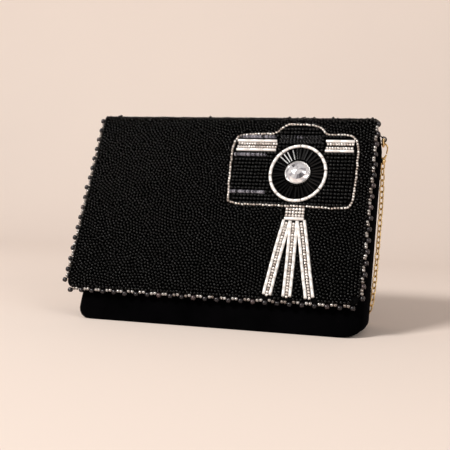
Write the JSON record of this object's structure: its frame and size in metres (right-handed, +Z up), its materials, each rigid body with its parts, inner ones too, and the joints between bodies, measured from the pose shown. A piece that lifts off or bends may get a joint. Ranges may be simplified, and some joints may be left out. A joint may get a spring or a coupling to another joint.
{
  "type": "evening bag",
  "caption": "Small boxy velvet evening bag with a stiff hinged beaded flap showing a camera on a tripod, a magnetic snap and a clip-on chain strap.",
  "frame": {"origin": "on the surface that the bag stands on, under the middle of the bag without its strap", "axes": "+Z up, +X to the right as the beaded front is seen, +Y towards the back"},
  "size_m": [0.1833, 0.1592, 0.1207],
  "materials": {
    "velvet": "matte black velvet",
    "board": "stiff board",
    "satin": "black satin",
    "ground_cloth": "black cloth under the beads",
    "black_beads": "glossy black seed beads",
    "rim_beads": "dark metallic and silver-lined beads",
    "silver_beads": "silver-lined seed beads",
    "white_bugles": "satin white bugle beads",
    "black_bugles": "glossy black bugle beads",
    "sequins": "glossy black sequins",
    "grey_sequins": "grey sequins",
    "crystal": "cut crystal, silvered behind",
    "setting": "silver-coloured setting",
    "snap_metal": "nickel",
    "gold_metal": "polished gold-coloured metal",
    "chain_metal": "gold-coloured chain"
  },
  "bodies": {
    "pouch": {"anchor_beads": "black_beads", "anchor_cloth": "ground_cloth", "back_board": "board", "back_panel": "velvet", "base_board": "board", "base_panel": "velvet", "chain_strap": "chain_metal", "front_board": "board", "front_panel": "velvet", "left_clasp": "gold_metal", "left_gusset": "velvet", "left_ring_tab": "velvet", "lining": "satin", "mouth_binding": "velvet", "right_clasp": "gold_metal", "right_gusset": "velvet", "right_ring_tab": "velvet", "snap_socket": "snap_metal", "snap_socket_washer": "snap_metal"},
    "flap_spine": {"spine_lining": "satin", "spine_board": "board", "spine_cloth": "ground_cloth", "spine_beads": "black_beads"},
    "flap": {"flap_lining": "satin", "flap_board": "board", "flap_cloth": "ground_cloth", "bead_field": "black_beads", "edge_beads_left": "rim_beads", "edge_beads_right": "rim_beads", "edge_beads_bottom": "rim_beads", "snap_stud": "snap_metal", "snap_stud_washer": "snap_metal", "camera_body": "sequins", "camera_outline": "silver_beads", "left_bar_beads": "white_bugles", "right_bar_beads": "white_bugles", "sequin_rows": "grey_sequins", "lens_ring": "white_bugles", "lens_spokes": "black_bugles", "crystal_setting": "setting", "lens_crystal": "crystal", "tripod_neck": "white_bugles", "tripod_left_leg": "white_bugles", "tripod_middle_leg": "white_bugles", "tripod_right_leg": "white_bugles"},
    "left_ring": {"left_ring": "gold_metal"},
    "right_ring": {"right_ring": "gold_metal"},
    "left_gate": {"left_gate": "gold_metal"},
    "right_gate": {"right_gate": "gold_metal"}
  },
  "joints": [
    {"name": "back_crease", "type": "hinge", "parent": "pouch", "child": "flap_spine", "pos_m": [0.00285, 0.03843, 0.117], "axis": [-1, 0, 0], "range_deg": [0, 150]},
    {"name": "front_crease", "type": "hinge", "parent": "flap_spine", "child": "flap", "pos_m": [0.00285, 0.01755, 0.117], "axis": [-1, 0, 0], "range_deg": [0, 60]},
    {"name": "left_ring_swing", "type": "hinge", "parent": "pouch", "child": "left_ring", "pos_m": [-0.08165, 0.03342, 0.1094], "axis": [0, 1, 0], "range_deg": [-8, 8]},
    {"name": "right_ring_swing", "type": "hinge", "parent": "pouch", "child": "right_ring", "pos_m": [0.08735, 0.03342, 0.1094], "axis": [0, 1, 0], "range_deg": [-8, 8]},
    {"name": "left_gate_hinge", "type": "hinge", "parent": "pouch", "child": "left_gate", "pos_m": [-0.08365, 0.03342, 0.10095], "axis": [0, 1, 0], "range_deg": [0, 18], "stiffness_Nm_per_rad": 0.002, "springref_deg": -8.59},
    {"name": "right_gate_hinge", "type": "hinge", "parent": "pouch", "child": "right_gate", "pos_m": [0.08935, 0.03342, 0.10095], "axis": [0, -1, 0], "range_deg": [0, 18], "stiffness_Nm_per_rad": 0.002, "springref_deg": -8.59}
  ]
}
